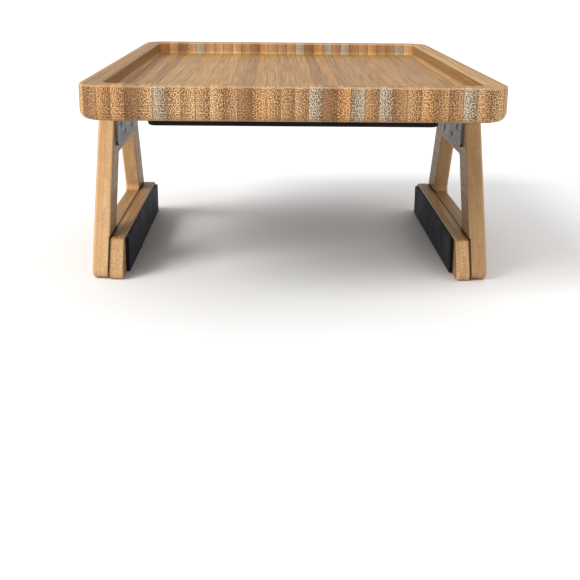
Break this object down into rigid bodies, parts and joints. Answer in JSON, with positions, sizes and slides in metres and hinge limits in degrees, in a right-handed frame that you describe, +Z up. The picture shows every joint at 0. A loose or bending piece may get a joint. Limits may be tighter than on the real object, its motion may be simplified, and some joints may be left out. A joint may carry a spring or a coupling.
{
  "type": "folding tray table",
  "caption": "Wooden sofa-arm tray table with a recessed rimmed top, sprung folding leg frames and rubber grip pads.",
  "frame": {"origin": "centre of the box on the ground, under the middle of the tray, with the legs' feet on z = 0", "axes": "+Y along the strips and both hinge axes, +X across the strips towards the right leg, +Z up, out of the tray's recess"},
  "size_m": [0.283, 0.4, 0.146],
  "materials": {
    "bamboo": "satin",
    "bamboo_leg": "satin",
    "rubber": "matte",
    "sheet_steel": "satin",
    "bright_steel": "polished",
    "spring_steel": "polished",
    "screw_steel": "satin"
  },
  "bodies": {
    "tray": {"tray_board": "bamboo", "underside_mat": "rubber", "left_tray_leaf": "sheet_steel", "right_tray_leaf": "sheet_steel", "left_tray_leaf_screws": "screw_steel", "right_tray_leaf_screws": "screw_steel", "left_torsion_spring": "spring_steel", "right_torsion_spring": "spring_steel"},
    "left_leg": {"left_leg_frame": "bamboo_leg", "left_clamp_block": "bamboo_leg", "left_clamp_pad": "rubber", "left_leg_leaf": "sheet_steel", "left_hinge_pin": "bright_steel", "left_leg_leaf_screws": "screw_steel", "left_block_screws": "screw_steel"},
    "right_leg": {"right_leg_frame": "bamboo_leg", "right_clamp_block": "bamboo_leg", "right_clamp_pad": "rubber", "right_leg_leaf": "sheet_steel", "right_hinge_pin": "bright_steel", "right_leg_leaf_screws": "screw_steel", "right_block_screws": "screw_steel"}
  },
  "joints": [
    {"name": "left_leg_swing", "type": "hinge", "parent": "tray", "child": "left_leg", "pos_m": [-0.133, 0, 0.1185], "axis": [0, 1, 0], "range_deg": [-75, 45], "stiffness_Nm_per_rad": 5, "deforming": ["left_torsion_spring"]},
    {"name": "right_leg_swing", "type": "hinge", "parent": "tray", "child": "right_leg", "pos_m": [0.133, 0, 0.1185], "axis": [0, -1, 0], "range_deg": [-75, 45], "stiffness_Nm_per_rad": 5, "deforming": ["right_torsion_spring"]}
  ]
}
